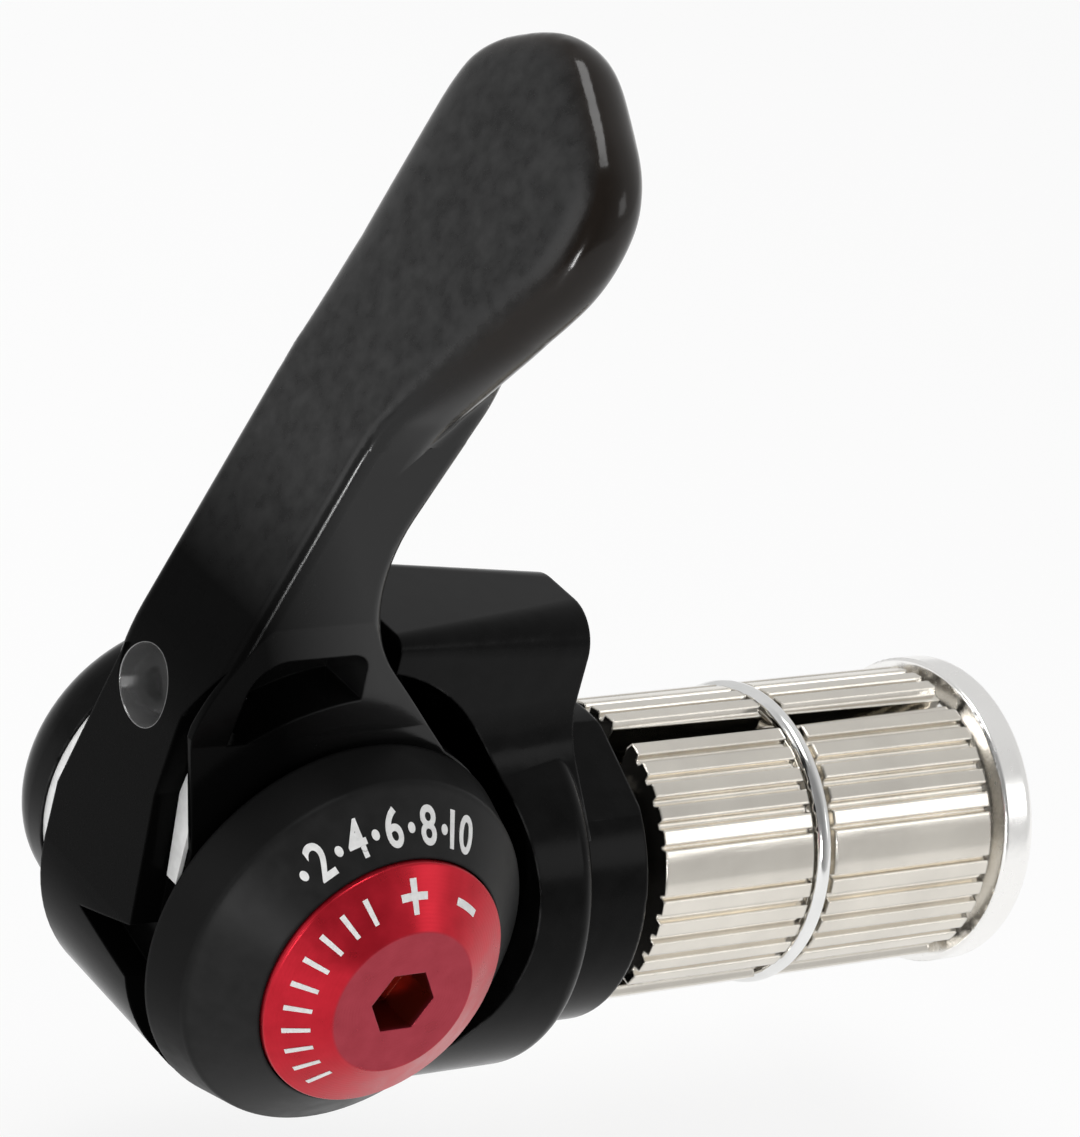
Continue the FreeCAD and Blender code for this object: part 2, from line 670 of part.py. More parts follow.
def ball_y():
    """Centre plane of the detent balls as they ride in the track."""
    return CAVITY_FLOOR_Y - INDEX_T + INDEX_TRACK_DEPTH - BALL_R - RUNNING_GAP


def detent_balls():
    """Balls that click from hole to hole."""
    balls = []
    for ball in range(BALL_COUNT):
        angle = FULL_TURN * ball / BALL_COUNT
        balls.append(Part.makeSphere(BALL_R, on_pivot_circle(DETENT_CIRCLE_R, angle, ball_y())))
    return Part.Compound(balls)


def cage_back_y():
    """Back face of the ball cage."""
    return CAVITY_FLOOR_Y - INDEX_T - CAGE_GAP


def ball_cage():
    """Fixed plate that keeps the balls apart."""
    back_y = cage_back_y()
    cage = keyed_ring(STACK_R, back_y - CAGE_T, back_y)
    for ball in range(BALL_COUNT):
        angle = FULL_TURN * ball / BALL_COUNT
        centre = on_pivot_circle(DETENT_CIRCLE_R, angle, back_y - CAGE_T)
        cage = cage.cut(Part.makeCylinder(BALL_R + RUNNING_GAP, CAGE_T, centre, Vector(0, 1, 0)))
    return cage


def detent_spring_back_y():
    """Back face of the disc that presses on the balls."""
    return ball_y() - BALL_R


def detent_spring():
    """Spring disc on the balls."""
    back_y = detent_spring_back_y()
    return keyed_ring(STACK_R, back_y - DETENT_SPRING_T, back_y)


def thrust_back_y():
    """Back face of the thrust plate."""
    return detent_spring_back_y() - DETENT_SPRING_T


def thrust_plate():
    """Plate that carries the spring disc."""
    back_y = thrust_back_y()
    return keyed_ring(STACK_R, back_y - THRUST_T, back_y)


def cone_spring():
    """Conical spring washer."""
    back_y = thrust_back_y() - THRUST_T
    outer_r = STACK_R - CONE_SPRING_INSET
    return turned_on_pivot([
        (outer_r, back_y),
        (outer_r, back_y - CONE_SPRING_T),
        (CONE_SPRING_BORE_R, back_y - CONE_SPRING_RISE - CONE_SPRING_T),
        (CONE_SPRING_BORE_R, back_y - CONE_SPRING_RISE),
    ])


def friction_back_y():
    """Back face of the friction washer."""
    return thrust_back_y() - THRUST_T - CONE_SPRING_RISE - CONE_SPRING_T


def friction_washer():
    """Fibre washer under the cap."""
    back_y = friction_back_y()
    return keyed_ring(STACK_R - FRICTION_INSET, back_y - FRICTION_T, back_y)


def base_washer():
    """White nylon washer between the pod and the drum."""
    return ring_on_pivot(
        POST_R + RUNNING_GAP, BOSS_R - BASE_WASHER_INSET, REAR_HUB_BACK_Y + FACE_GAP, BOSS_FACE_Y)


def hub_cap():
    """Cap over the pivot, with a seat for the red bolt."""
    inner_y = friction_back_y() - FRICTION_T
    cap_r = DRUM_R - CAP_INSET
    hub_r = STACK_R - CAP_HUB_INSET
    skirt_r = cap_r - CAP_SKIRT_T
    cap = turned_on_pivot([
        (0.0, inner_y),
        (hub_r, inner_y),
        (hub_r, CAP_BACK_Y - CAP_SKIRT_DEPTH),
        (skirt_r, CAP_BACK_Y - CAP_SKIRT_DEPTH),
        (skirt_r, CAP_BACK_Y),
        (cap_r, CAP_BACK_Y),
        (cap_r - CAP_TAPER, CAP_EDGE_Y, CAP_EDGE_ROUND),
        (TENSION_HEAD_R + FACE_GAP, CAP_FRONT_Y),
        (TENSION_HEAD_R + FACE_GAP, CAP_SEAT_Y),
        (0.0, CAP_SEAT_Y),
    ])
    shank_room = rod_on_pivot(TENSION_SHANK_R + FACE_GAP, CAP_SEAT_Y, inner_y)
    return cap.cut(keyed_bore(POST_FRONT_Y - FACE_GAP, inner_y)).cut(shank_room)


def tension_washer():
    """Washer under the red bolt's head."""
    return ring_on_pivot(
        TENSION_SHANK_R + RUNNING_GAP, TENSION_WASHER_R, CAP_SEAT_Y - TENSION_WASHER_T, CAP_SEAT_Y)


def tension_bolt():
    """Red bolt with a dished head and a hex socket."""
    head_back_y = CAP_SEAT_Y - TENSION_WASHER_T
    bolt = turned_on_pivot([
        (0.0, TENSION_FACE_Y),
        (TENSION_FACE_R, TENSION_FACE_Y),
        (TENSION_HEAD_R, TENSION_RIM_Y, TENSION_RIM_ROUND),
        (TENSION_HEAD_R, head_back_y),
        (TENSION_SHANK_R, head_back_y),
        (TENSION_SHANK_R, TENSION_SHANK_END_Y),
        (0.0, TENSION_SHANK_END_Y),
    ])
    socket = hexagon(
        Vector(PIVOT_X, TENSION_FACE_Y, PIVOT_Z), Vector(0, 1, 0), TENSION_HEX, TENSION_HEX_DEPTH)
    return bolt.cut(socket)


def polar(radius, angle_deg, x):
    """Point round the handlebar's axis, counted from +Y towards +Z."""
    angle = math.radians(angle_deg)
    return Vector(x, radius * math.cos(angle), radius * math.sin(angle))


def raised_spans():
    """Angles of the ribs and panels round the expander, as (foot start, top start, top end, foot end)."""
    spans = []
    flank = (RIB_FOOT_DEG - RIB_TOP_DEG) / 2.0
    for segment in range(SEGMENT_COUNT):
        middle = SLOT_DEG + FULL_TURN * (segment + 0.5) / SEGMENT_COUNT
        side = []
        for rib in range(RIBS_PER_SIDE):
            side.append(PANEL_DEG / 2.0 + RIB_PITCH_DEG * (rib + 0.5))
        centres = [-a for a in reversed(side)] + [0.0] + side
        for offset in centres:
            top = PANEL_DEG - flank if offset == 0.0 else RIB_TOP_DEG
            start = middle + offset - top / 2.0
            spans.append((start - flank, start, start + top, start + top + flank))
    return spans


def ribbed_tube():
    """Tube with the expander's ribs and panels, before it is slotted."""
    valley_r = RIB_R - RIB_DEPTH
    edges = []
    spans = raised_spans()
    for i, (foot_in, top_in, top_out, foot_out) in enumerate(spans):
        following = spans[(i + 1) % len(spans)][0]
        if following < foot_out:
            following += FULL_TURN
        x = SEGMENT_START_X
        edges.append(Part.LineSegment(polar(valley_r, foot_in, x), polar(RIB_R, top_in, x)).toShape())
        edges.append(Part.Arc(
            polar(RIB_R, top_in, x), polar(RIB_R, (top_in + top_out) / 2.0, x),
            polar(RIB_R, top_out, x)).toShape())
        edges.append(Part.LineSegment(polar(RIB_R, top_out, x), polar(valley_r, foot_out, x)).toShape())
        edges.append(Part.Arc(
            polar(valley_r, foot_out, x), polar(valley_r, (foot_out + following) / 2.0, x),
            polar(valley_r, following, x)).toShape())
    length = SEGMENT_END_X - SEGMENT_START_X
    tube = Part.Face(Part.Wire(edges)).extrude(Vector(length, 0, 0))
    tube = tube.cut(rod_on_bar(RIB_BORE_R, SEGMENT_START_X, SEGMENT_END_X))
    half = RING_GROOVE_W / 2.0
    groove = rod_on_bar(REACH, RING_X - half, RING_X + half).cut(
        rod_on_bar(RING_GROOVE_R, RING_X - half, RING_X + half))
    return tube.cut(groove)


def slot_cutter(angle_deg):
    """Tapered slot between two segments."""
    wide = SLOT_START_W / 2.0
    narrow = SLOT_END_W / 2.0
    corners = [
        Vector(SEGMENT_START_X, -wide, 0),
        Vector(SEGMENT_END_X, -narrow, 0),
        Vector(SEGMENT_END_X, narrow, 0),
        Vector(SEGMENT_START_X, wide, 0),
    ]
    slot = Part.Face(Part.makePolygon(corners + corners[:1])).extrude(Vector(0, 0, REACH))
    slot.rotate(Vector(0, 0, 0), Vector(1, 0, 0), angle_deg - QUARTER_TURN)
    return slot


def cone_tool(base_x, tip_x):
    """Expander cone grown by its working gap, with a straight run behind its base."""
    grow = CONE_GAP / math.cos(math.radians(CONE_DEG))
    back_x = base_x - (tip_x - base_x)
    return turned_on_bar([
        (back_x, 0.0),
        (back_x, 2.0 * CONE_BASE_R - CONE_TIP_R + grow),
        (tip_x, CONE_TIP_R + grow),
        (tip_x, 0.0),
    ])


def expander_segment(tube, index):
    """One ribbed segment, whose inner cones fit both wedges when it is spread."""
    middle = SLOT_DEG + FULL_TURN * (index + 0.5) / SEGMENT_COUNT
    outward = polar(1.0, middle, 0.0)
    spread = outward * (WEDGE_TRAVEL / 2.0 * math.tan(math.radians(CONE_DEG)))
    along = Vector(WEDGE_TRAVEL / 2.0, 0, 0)
    pieces = tube.cut([slot_cutter(SLOT_DEG + FULL_TURN * i / SEGMENT_COUNT) for i in range(SEGMENT_COUNT)])
    segment = max(pieces.Solids, key=lambda s: s.CenterOfMass.dot(outward))
    fixed_cone = cone_tool(0.0, cone_length())
    fixed_cone.translate(along - spread)
    moving_cone = cone_tool(WEDGE_FACE_X, WEDGE_FACE_X - cone_length())
    moving_cone.translate(-along - spread)
    return segment.cut(fixed_cone).cut(moving_cone)


def ring_spring():
    """Wire ring that holds the segments together."""
    return Part.makeTorus(RING_R, RING_WIRE_R, Vector(RING_X, 0, 0), Vector(1, 0, 0))


def wedge_nut():
    """Threaded end cone with a rounded flange."""
    tip_x = WEDGE_FACE_X - cone_length()
    return turned_on_bar([
        (tip_x, BOLT_R + RUNNING_GAP),
        (tip_x, CONE_TIP_R),
        (WEDGE_FACE_X, CONE_BASE_R),
        (WEDGE_FACE_X, WEDGE_FLANGE_R, WEDGE_LIP_R),
        (WEDGE_END_X, WEDGE_FLANGE_R, WEDGE_EDGE_R),
        (WEDGE_END_X, WEDGE_DISH_R),
        (WEDGE_END_X - WEDGE_DISH_DEPTH, WEDGE_DISH_R - WEDGE_DISH_DEPTH),
        (WEDGE_END_X - WEDGE_DISH_DEPTH, BOLT_R + RUNNING_GAP),
    ])


def expander_washer():
    """Washer under the expander bolt's head."""
    return turned_on_bar([
        (BOLT_SEAT_X - BOLT_WASHER_T, BOLT_R + FACE_GAP),
        (BOLT_SEAT_X - BOLT_WASHER_T, BOLT_HEAD_R),
        (BOLT_SEAT_X, BOLT_HEAD_R),
        (BOLT_SEAT_X, BOLT_R + FACE_GAP),
    ])


def expander_bolt():
    """Socket head bolt that pulls the wedge nut."""
    head_end = BOLT_SEAT_X - BOLT_WASHER_T
    head_start = head_end - BOLT_HEAD_T
    bolt = turned_on_bar([
        (head_start, 0.0),
        (head_start, BOLT_HEAD_R, BOLT_EDGE_R),
        (head_end, BOLT_HEAD_R),
        (head_end, BOLT_R),
        (BOLT_END_X, BOLT_R, BOLT_EDGE_R),
        (BOLT_END_X, 0.0),
    ])
    return bolt.cut(hexagon(Vector(head_start, 0, 0), Vector(1, 0, 0), BOLT_HEX, BOLT_HEX_DEPTH))


def write(name, shape):
    """Export one piece as a STEP file."""
    solids = shape.Solids
    if not shape.isValid():
        print("invalid", name)
    print(name, len(solids), round(shape.Volume, 1))
    piece = solids[0] if len(solids) == 1 else Part.Compound(solids)
    piece.exportStep(os.path.join("parts", name + ".step"))


def main():
    """Write every piece."""
    os.makedirs("parts", exist_ok=True)
    plain = (
        pod_body, pivot_post, base_washer, lever, lever_bush, groove_pad, nipple_seat, index_plate,
        detent_balls, ball_cage, detent_spring, thrust_plate, cone_spring, friction_washer, hub_cap,
        tension_washer, tension_bolt, ring_spring, wedge_nut, expander_washer, expander_bolt,
    )
    for make in plain:
        write(make.__name__, make())
    tube = ribbed_tube()
    for index in range(SEGMENT_COUNT):
        write("expander_segment_%d" % (index + 1), expander_segment(tube, index))


main()
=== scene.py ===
import json
import math

import bmesh
import bpy
from mathutils import Matrix, Vector
from mathutils.bvhtree import BVHTree
from mathutils.geometry import intersect_point_line

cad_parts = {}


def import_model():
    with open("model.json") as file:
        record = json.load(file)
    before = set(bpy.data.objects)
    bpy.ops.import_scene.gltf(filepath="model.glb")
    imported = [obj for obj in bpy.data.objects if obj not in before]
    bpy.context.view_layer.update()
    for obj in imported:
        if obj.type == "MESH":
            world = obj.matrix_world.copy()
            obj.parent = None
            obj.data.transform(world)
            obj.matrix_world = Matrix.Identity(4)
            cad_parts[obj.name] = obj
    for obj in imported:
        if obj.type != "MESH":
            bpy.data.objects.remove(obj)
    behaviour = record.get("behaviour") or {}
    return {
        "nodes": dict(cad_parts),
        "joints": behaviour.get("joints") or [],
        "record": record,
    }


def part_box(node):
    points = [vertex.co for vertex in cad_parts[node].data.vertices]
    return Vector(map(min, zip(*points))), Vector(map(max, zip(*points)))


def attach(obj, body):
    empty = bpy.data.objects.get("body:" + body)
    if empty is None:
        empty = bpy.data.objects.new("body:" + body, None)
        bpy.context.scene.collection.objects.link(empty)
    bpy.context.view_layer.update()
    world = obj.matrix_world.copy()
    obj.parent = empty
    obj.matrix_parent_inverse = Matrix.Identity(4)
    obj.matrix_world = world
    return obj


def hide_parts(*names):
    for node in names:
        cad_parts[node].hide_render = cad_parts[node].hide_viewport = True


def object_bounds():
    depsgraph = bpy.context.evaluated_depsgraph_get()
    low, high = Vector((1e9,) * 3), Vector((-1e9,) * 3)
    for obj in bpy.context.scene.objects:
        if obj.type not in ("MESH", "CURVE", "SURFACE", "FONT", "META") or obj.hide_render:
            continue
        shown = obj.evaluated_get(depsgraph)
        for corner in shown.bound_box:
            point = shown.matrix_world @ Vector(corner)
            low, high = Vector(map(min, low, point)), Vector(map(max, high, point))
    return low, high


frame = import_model()
cad_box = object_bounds()
nodes = frame["nodes"]
joints = {joint["name"]: joint for joint in frame["joints"]}
mounts = {mount["name"]: mount for mount in frame["record"]["mounts"]}
mm = 0.001

# Camera, in the part's frame
CAMERA_AT = Vector((-213.6, -241.9, 170.8)) * mm
CAMERA_AZIMUTH = math.radians(-40.47)
CAMERA_ELEVATION = math.radians(25.06)
CAMERA_ROLL = math.radians(15.07)
CAMERA_LENS_MM = 174.28
CAMERA_SENSOR_MM = 36.0
CAMERA_NEAR = 10.0 * mm

# Studio, in metres; the world is dimmer on the side that the camera stands on
FLOOR_DROP = 12.0 * mm
FLOOR_R = 3.0
FLOOR_COLOR = 0.90
FLOOR_SHADE = 0.99
FLOOR_CLOUD = 0.4
FLOOR_GLOW = 0.82
WORLD_FAR = 0.70
WORLD_NEAR = 0.25
WORLD_TURN = (0.1, 0.9)

# Lamps: name, place, target, width and height in metres, and power in watts
LAMPS = (
    ("overhead", (-0.10, 0.05, 0.60), (0.0, 0.0, 0.0), 0.32, 0.26, 1.6),
    ("right", (0.31, -0.34, 0.21), (0.015, 0.0, 0.0), 0.14, 0.14, 0.12),
    ("left", (-0.55, 0.10, 0.20), (-0.02, 0.0, 0.02), 0.30, 0.30, 0.5),
    ("front", (-0.30, -0.30, 0.06), (-0.02, 0.0, 0.03), 0.03, 0.08, 0.35),
)

# Shading: the range that most noise lies in, the samples on a broken edge, how well two normals match from
# an edge to flat ground and from an averted face to a square one, and the stretch of scratches along the bar
NOISE_LOW = 0.3
NOISE_HIGH = 0.7
BEVEL_SAMPLES = 6
EDGE_MATCH = (0.90, 0.995)
FACE_MATCH = (0.80, 0.98)
ALONG_BAR = (0.12, 1.0, 1.0)

# Directions of the part
UP = (0.0, 0.0, 1.0)
TO_CAP = (0.0, -1.0, 0.0)
FROM_CAP = (0.0, 1.0, 0.0)
TO_REAR = (-1.0, 0.0, 0.0)

# Numbers of a Mix node's first, second and result sockets, which share their names
MIX_SOCKETS = {"FLOAT": (2, 3, 0), "RGBA": (6, 7, 2)}

# Lever's finish: the lean of its broad face, painted shade round the hub that fades out up the stem, a
# painted brown reflection on the paddle, and bare metal inside the cable's hole
FACE_LEAN = math.radians(20.5)
FACE_WAY = Vector((-math.cos(FACE_LEAN), 0.0, math.sin(FACE_LEAN)))
HUB_SHADE_WAY = Vector((0.9, 0.0, 0.436))
HUB_SHADE_FROM = -20.5 * mm
HUB_SHADE_END = -13.5 * mm
# Heights over which the paddle's sides turn from black to a painted brown reflection
PADDLE_FROM = 40.0 * mm
PADDLE_FULL = 46.0 * mm
LEVER_EDGE = 0.2 * mm
HOLE = mounts["cable_nipple"]
HOLE_MOUTH = Vector(HOLE["pos_m"])
HOLE_WALL_SLACK = 0.04 * mm
HOLE_WALL_FEATHER = 0.03 * mm
HOLE_R = HOLE["dims"]["r_mm"] * mm + HOLE_WALL_SLACK
HOLE_FLOOR_SLACK = 0.05 * mm
HOLE_FLOOR_FEATHER = 0.1 * mm
HOLE_FLOOR_X = HOLE_MOUTH.x + HOLE["dims"]["length_mm"] * mm + HOLE_FLOOR_SLACK

# Lever's paddle: cut off at a level, meshed evenly, swollen in its face's plane and smoothed
ROUND_CUT_Z = 37.0 * mm
ROUND_FROM_Z = 39.0 * mm
ROUND_FULL_Z = 46.0 * mm
ROUND_ROOM = 3.0 * mm
ROUND_GRID = 0.35 * mm
ROUND_PASSES = 80
ROUND_STEP = 0.5
ROUND_SWELL = 0.65 * mm
SHARP_EDGE = math.radians(35.0)
WELD = 0.001 * mm

# Cap: how far its front reaches back, and the stretch over which it turns into the side, which carries
# painted shade
CAP_FRONT_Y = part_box("hub_cap")[0].y
CAP_FRONT_DEPTH = 3.5 * mm
CAP_FEATHER = 0.6 * mm

# Pivot axis and the marks round it
PIVOT = Vector(joints["lever_swing"]["pos_m"])
GEAR_COUNT = 10
GEAR_PITCH_DEG = 7.4
GEAR_MIDDLE_DEG = 99.0
NUMERAL_R = 10.1 * mm
NUMERAL_HEIGHT = 1.8 * mm
NUMERAL_BOLD = 0.05 * mm
NUMERAL_SHARE_OF_SIZE = 0.7
NUMERAL_STEPS = 6
DOT_R = 0.26 * mm
DOT_CORNERS = 16
MARK_LIFT = 0.02 * mm
MARK_T = 0.04 * mm
MARK_RAY_FROM_Y = -1.0
BAR_STRIPS = 4
TICK_R = 6.9 * mm
TICK_LENGTH = 1.5 * mm
TICK_WIDTH = 0.32 * mm
TICK_FROM_DEG = 118.0
TICK_STEP_DEG = 13.0
TICK_COUNT = 10
SIGN_R = 6.9 * mm
SIGN_SIZE = 1.9 * mm
SIGN_WIDTH = 0.42 * mm
PLUS_DEG = 92.0
MINUS_DEG = 55.0

# Red bolt: its pale face and the hex socket in it, which carries painted shade from just below its rim
BOLT_FRONT_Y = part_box("tension_bolt")[0].y
RED_FACE_R = 5.1 * mm
RED_FEATHER = 0.2 * mm
SOCKET_R = 2.5 * mm
SOCKET_FEATHER = 0.1 * mm
SOCKET_SHADE_FROM = 0.05 * mm
SOCKET_SHADE_FULL = 0.45 * mm


def feed(tree, socket, value):
    """Link a shader node's output to a socket, or set the socket's own value."""
    if isinstance(value, bpy.types.NodeSocket):
        tree.links.new(value, socket)
    else:
        socket.default_value = value


def add(tree, kind, settings=None, **values):
    """New shader node, with its settings and its input values or links."""
    made = tree.nodes.new("ShaderNode" + kind)
    for key, value in (settings or {}).items():
        setattr(made, key, value)
    for key, value in values.items():
        feed(tree, made.inputs[key.replace("_", " ")], value)
    return made


def maths(tree, kind, operation, *operands):
    """New Math or VectorMath node on its operands."""
    made = add(tree, kind, {"operation": operation})
    for socket, value in zip(made.inputs, operands):
        feed(tree, socket, value)
    return made


def new_material(name, **values):
    """Material with a principled shader, and its tree and shader."""
    made = bpy.data.materials.new(name)
    made.use_nodes = True
    tree = made.node_tree
    shader = tree.nodes["Principled BSDF"]
    for key, value in values.items():
        shader.inputs[key.replace("_", " ")].default_value = value
    return made, tree, shader


def grey(level):
    """Colour of one level in all channels."""
    return (level, level, level, 1.0)


def speckle(tree, size, detail=3.0, stretch=(1.0, 1.0, 1.0)):
    """Noise from 0 to 1 whose grains are about one size in metres."""
    coords = add(tree, "TexCoord").outputs["Object"]
    placed = add(tree, "Mapping", Vector=coords, Scale=stretch).outputs["Vector"]
    noise = add(tree, "TexNoise", Vector=placed, Scale=1.0 / size, Detail=detail)
    return noise.outputs["Fac"]


def spread(tree, value, low, high, start=NOISE_LOW, end=NOISE_HIGH):
    """A value between start and end, brought to the range from low to high."""
    ranged = add(tree, "MapRange", Value=value, From_Min=start, From_Max=end, To_Min=low, To_Max=high)
    return ranged.outputs["Result"]


def varied(tree, noise, middle, swing):
    """A value that noise varies by a share of it, up and down."""
    return spread(tree, noise, middle * (1.0 - swing), middle * (1.0 + swing))


def within(tree, distance, radius, feather):
    """Share that falls from 1 to 0 over the last stretch before a radius."""
    return spread(tree, distance, 1.0, 0.0, radius - feather, radius)


def blend(tree, share, first, second, kind="RGBA"):
    """Mix of two colours, or of two values."""
    mixed = add(tree, "Mix", {"data_type": kind})
    start, end, result = MIX_SOCKETS[kind]
    feed(tree, mixed.inputs[0], share)
    feed(tree, mixed.inputs[start], first)
    feed(tree, mixed.inputs[end], second)
    return mixed.outputs[result]


def times(tree, first, second):
    """Product of two values."""
    return maths(tree, "Math", "MULTIPLY", first, second).outputs["Value"]


def broken_edges(tree, radius):
    """Normal over edges that are broken by a small radius."""
    return add(tree, "Bevel", {"samples": BEVEL_SAMPLES}, Radius=radius).outputs["Normal"]


def edge_share(tree, radius):
    """Share from 0 on flat ground to 1 on an edge."""
    soft = broken_edges(tree, radius)
    sharp = add(tree, "NewGeometry").outputs["Normal"]
    match = maths(tree, "VectorMath", "DOT_PRODUCT", soft, sharp).outputs["Value"]
    return spread(tree, match, 1.0, 0.0, *EDGE_MATCH)


def relief(tree, height, depth, radius):
    """Normal with a fine relief over broken edges."""
    soft = broken_edges(tree, radius)
    return add(tree, "Bump", Height=height, Normal=soft, Strength=1.0, Distance=depth).outputs["Normal"]


def painted(name, dark, pale, rough, grain, depth, edge, wear_and_sheen, **values):
    """Black finish on metal, with mottling, fine relief and edges paler in patches, partly from use and
    partly as a painted edge highlight.
    """
    made, tree, shader = new_material(name, **values)
    mottle = speckle(tree, grain, 4.0)
    fine = speckle(tree, grain / 6.0, 2.0)
    ground = blend(tree, spread(tree, mottle, 0.0, 1.0), grey(dark), grey(pale))
    patchy = speckle(tree, grain * 2.0, 5.0)
    # Painted highlight: edges paler in patches stand in for edge highlights as well as scuffing
    edge_wear_and_highlight = times(tree, edge_share(tree, edge), spread(tree, patchy, 0.0, 1.0, 0.45, 0.75))
    tree.links.new(blend(tree, edge_wear_and_highlight, ground, grey(wear_and_sheen)), shader.inputs["Base Color"])
    tree.links.new(varied(tree, mottle, rough, swing=0.15), shader.inputs["Roughness"])
    tree.links.new(relief(tree, fine, depth, edge), shader.inputs["Normal"])
    return made


def bare_metal(name, color, rough, grain, depth, edge, stretch=(1.0, 1.0, 1.0), tint=0.9):
    """Plated or machined metal, with faint stains and scratches along one direction."""
    made, tree, shader = new_material(name, Metallic=1.0)
    stain = speckle(tree, grain * 8.0, 4.0)
    scratch = speckle(tree, grain, 3.0, stretch)
    bright = (*color, 1.0)
    dull = (*[c * tint for c in color], 1.0)
    tree.links.new(blend(tree, spread(tree, stain, 0.0, 1.0), dull, bright), shader.inputs["Base Color"])
    tree.links.new(varied(tree, scratch, rough, swing=0.3), shader.inputs["Roughness"])
    tree.links.new(relief(tree, scratch, depth, edge), shader.inputs["Normal"])
    return made


def moulded(name, color, rough, grain, depth, edge, tint=0.86):
    """Plain plastic or fibre with a faint grain."""
    made, tree, shader = new_material(name)
    cloud = speckle(tree, grain, 4.0)
    full = (*color, 1.0)
    dull = (*[c * tint for c in color], 1.0)
    tree.links.new(blend(tree, spread(tree, cloud, 0.0, 1.0), dull, full), shader.inputs["Base Color"])
    tree.links.new(varied(tree, cloud, rough, swing=0.1), shader.inputs["Roughness"])
    tree.links.new(relief(tree, cloud, depth, edge), shader.inputs["Normal"])
    return made


def axis_distance(tree, point, across):
    """Distance in metres from the axis through a point; across is 0 along the axis and 1 over it."""
    coords = add(tree, "TexCoord").outputs["Object"]
    from_point = maths(tree, "VectorMath", "SUBTRACT", coords, point).outputs["Vector"]
    flat = maths(tree, "VectorMath", "MULTIPLY", from_point, across).outputs["Vector"]
    return maths(tree, "VectorMath", "LENGTH", flat).outputs["Value"]


def pivot_radius(tree):
    """Distance from the pivot axis, in metres."""
    return axis_distance(tree, PIVOT, (1.0, 0.0, 1.0))


def along(tree, way, low, high):
    """Share from 0 to 1 between two distances along a direction of the part."""
    coords = add(tree, "TexCoord").outputs["Object"]
    reach = maths(tree, "VectorMath", "DOT_PRODUCT", coords, way).outputs["Value"]
    return spread(tree, reach, 0.0, 1.0, low, high)


def facing(tree, way):
    """Share from 0 to 1 of how squarely a surface of the part looks in a direction."""
    looks = add(tree, "TexCoord").outputs["Normal"]
    match = maths(tree, "VectorMath", "DOT_PRODUCT", looks, way).outputs["Value"]
    return spread(tree, match, 0.0, 1.0, *FACE_MATCH)


def forged_black():
    """Lever: painted shade round the hub, mottled on its face, glossy on its sides with a painted brown
    reflection on the paddle, bare metal in the hole.
    """
    made, tree, shader = new_material("lever_black")
    mottle = speckle(tree, 1.1 * mm, 6.0)
    fine = speckle(tree, 0.2 * mm, 3.0)
    # Painted shade: 0 round the hub and 1 up the stem; it darkens the lever and weakens its reflection near
    # the hub
    clear_of_hub_shade = along(tree, HUB_SHADE_WAY, HUB_SHADE_FROM, HUB_SHADE_END)
    paddle = along(tree, UP, PADDLE_FROM, PADDLE_FULL)
    face = facing(tree, FACE_WAY)
    near_seam = along(tree, UP, ROUND_CUT_Z - ROUND_ROOM, ROUND_CUT_Z)
    broken = spread(tree, near_seam, LEVER_EDGE, 0.0, 0.0, 1.0)
    from_axis = axis_distance(tree, HOLE_MOUTH, (0.0, 1.0, 1.0))
    in_bore = within(tree, from_axis, HOLE_R, HOLE_WALL_FEATHER)
    before_floor = along(tree, TO_REAR, -HOLE_FLOOR_X, -HOLE_FLOOR_X + HOLE_FLOOR_FEATHER)
    hole = times(tree, in_bore, before_floor)
    hub_painted_shade = grey(0.002)
    stem_black = grey(0.010)
    # Painted reflection: a brown tint on the paddle's glossy sides
    paddle_brown_reflection = (0.009, 0.006, 0.004, 1.0)
    bare = grey(0.35)
    mottled = blend(tree, spread(tree, mottle, 0.0, 1.0), grey(0.006), grey(0.020))
    sides = blend(tree, paddle, stem_black, paddle_brown_reflection)
    wear_and_sheen = blend(tree, face, sides, mottled)
    coat_with_hub_shade = blend(tree, clear_of_hub_shade, hub_painted_shade, wear_and_sheen)
    dry = spread(tree, mottle, 0.24, 0.38)
    gloss = spread(tree, mottle, 0.12, 0.17)
    tree.links.new(blend(tree, hole, coat_with_hub_shade, bare), shader.inputs["Base Color"])
    tree.links.new(spread(tree, hole, 0.0, 0.8, 0.0, 1.0), shader.inputs["Metallic"])
    # Painted shade: weaker reflection round the hub
    tree.links.new(spread(tree, clear_of_hub_shade, 0.02, 0.28, 0.0, 1.0), shader.inputs["Specular IOR Level"])
    tree.links.new(blend(tree, face, gloss, dry, "FLOAT"), shader.inputs["Roughness"])
    tree.links.new(relief(tree, fine, 0.003 * mm, broken), shader.inputs["Normal"])
    return made


def turned_rings(tree, pitch):
    """Height of the fine rings that a lathe leaves round the pivot."""
    turns = times(tree, pivot_radius(tree), math.tau / pitch)
    return maths(tree, "Math", "SINE", turns).outputs["Value"]


def turned_black():
    """Cap: a satin front, and painted shade on its side, which is darker and reflects less."""
    made, tree, shader = new_material("cap_black")
    stain = speckle(tree, 1.2 * mm, 4.0)
    side_ends = -CAP_FRONT_Y - CAP_FRONT_DEPTH
    front = along(tree, TO_CAP, side_ends, side_ends + CAP_FEATHER)
    # Painted shade: the cap's side is darker and reflects less than its front
    cap_side_painted_shade = grey(0.008)
    satin = blend(tree, spread(tree, stain, 0.0, 1.0), grey(0.013), grey(0.018))
    tree.links.new(blend(tree, front, cap_side_painted_shade, satin), shader.inputs["Base Color"])
    tree.links.new(spread(tree, front, 0.04, 0.10, 0.0, 1.0), shader.inputs["Specular IOR Level"])
    tree.links.new(spread(tree, stain, 0.34, 0.42), shader.inputs["Roughness"])
    tree.links.new(relief(tree, stain, 0.002 * mm, 0.3 * mm), shader.inputs["Normal"])
    return made


